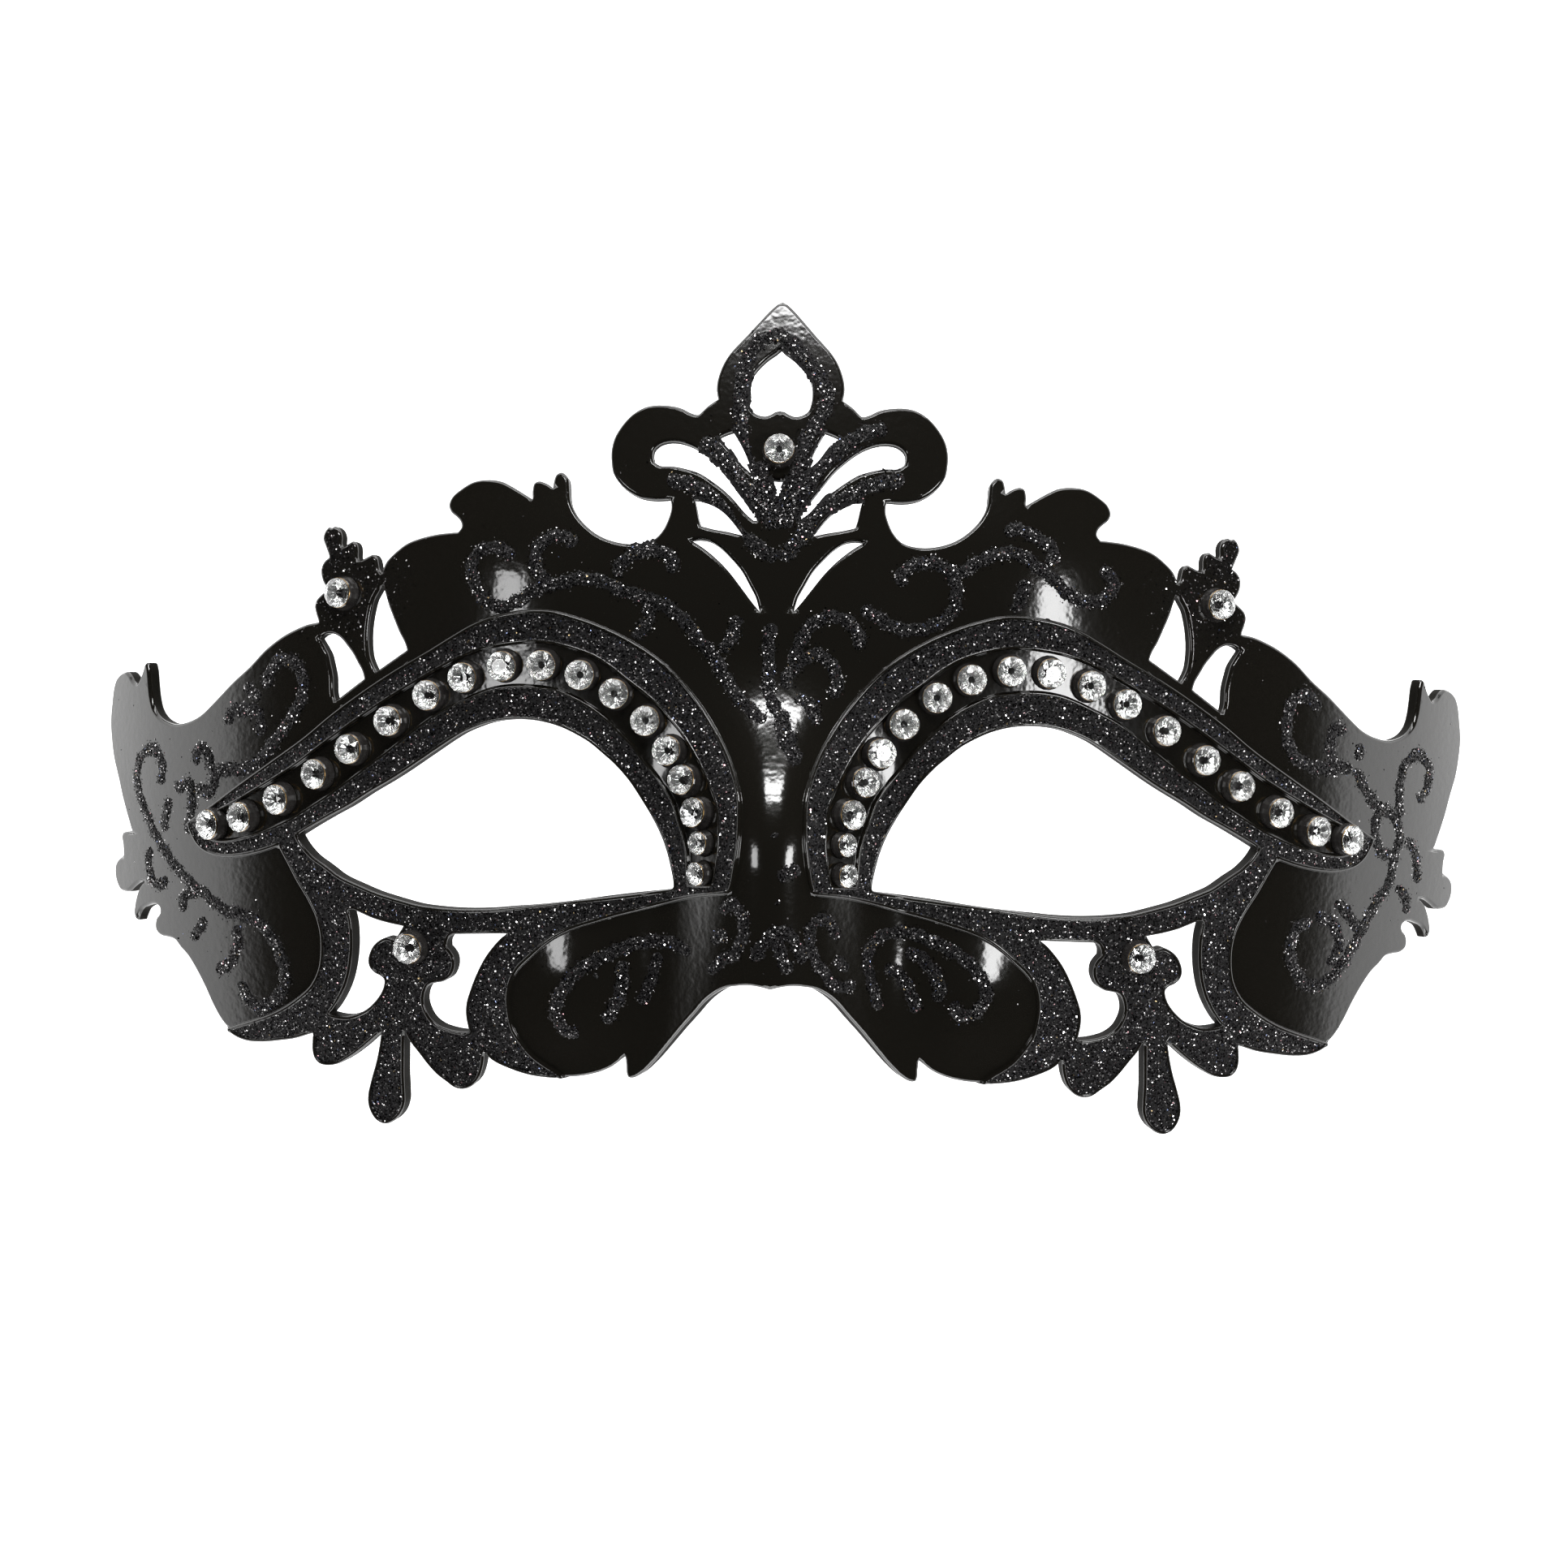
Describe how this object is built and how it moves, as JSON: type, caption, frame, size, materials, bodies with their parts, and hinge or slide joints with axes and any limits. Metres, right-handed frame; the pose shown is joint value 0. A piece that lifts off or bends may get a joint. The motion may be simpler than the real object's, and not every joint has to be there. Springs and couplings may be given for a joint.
{
  "type": "venetian eye mask",
  "caption": "Half-face eye mask: stiff moulded shell with pierced scroll crest, lobed temple tabs, ringed eye openings, a nose ridge and round cut stones.",
  "frame": {"origin": "middle of the box's bottom: the floor under the face-up mask, halfway between the temple tabs and between crest tip and petals", "axes": "+X to the right of the face as seen from the front, +Y towards the crest, +Z out of the face"},
  "size_m": [0.1734, 0.1058, 0.0575],
  "materials": {
    "black_gloss_plastic": "gloss black with fine glitter bands",
    "clear_crystal": "clear, cut, foil backed"
  },
  "bodies": {
    "root": {"mask_shell": "black_gloss_plastic", "stone_crest": "clear_crystal", "stone_leaf_left": "clear_crystal", "stone_floret_left": "clear_crystal", "stone_eye_left_01": "clear_crystal", "stone_eye_left_02": "clear_crystal", "stone_eye_left_03": "clear_crystal", "stone_eye_left_04": "clear_crystal", "stone_eye_left_05": "clear_crystal", "stone_eye_left_06": "clear_crystal", "stone_eye_left_07": "clear_crystal", "stone_eye_left_08": "clear_crystal", "stone_eye_left_09": "clear_crystal", "stone_eye_left_10": "clear_crystal", "stone_eye_left_11": "clear_crystal", "stone_eye_left_12": "clear_crystal", "stone_eye_left_13": "clear_crystal", "stone_eye_left_14": "clear_crystal", "stone_eye_left_15": "clear_crystal", "stone_eye_left_16": "clear_crystal", "stone_eye_left_17": "clear_crystal", "stone_eye_left_18": "clear_crystal", "stone_leaf_right": "clear_crystal", "stone_floret_right": "clear_crystal", "stone_eye_right_01": "clear_crystal", "stone_eye_right_02": "clear_crystal", "stone_eye_right_03": "clear_crystal", "stone_eye_right_04": "clear_crystal", "stone_eye_right_05": "clear_crystal", "stone_eye_right_06": "clear_crystal", "stone_eye_right_07": "clear_crystal", "stone_eye_right_08": "clear_crystal", "stone_eye_right_09": "clear_crystal", "stone_eye_right_10": "clear_crystal", "stone_eye_right_11": "clear_crystal", "stone_eye_right_12": "clear_crystal", "stone_eye_right_13": "clear_crystal", "stone_eye_right_14": "clear_crystal", "stone_eye_right_15": "clear_crystal", "stone_eye_right_16": "clear_crystal", "stone_eye_right_17": "clear_crystal", "stone_eye_right_18": "clear_crystal"}
  },
  "joints": []
}
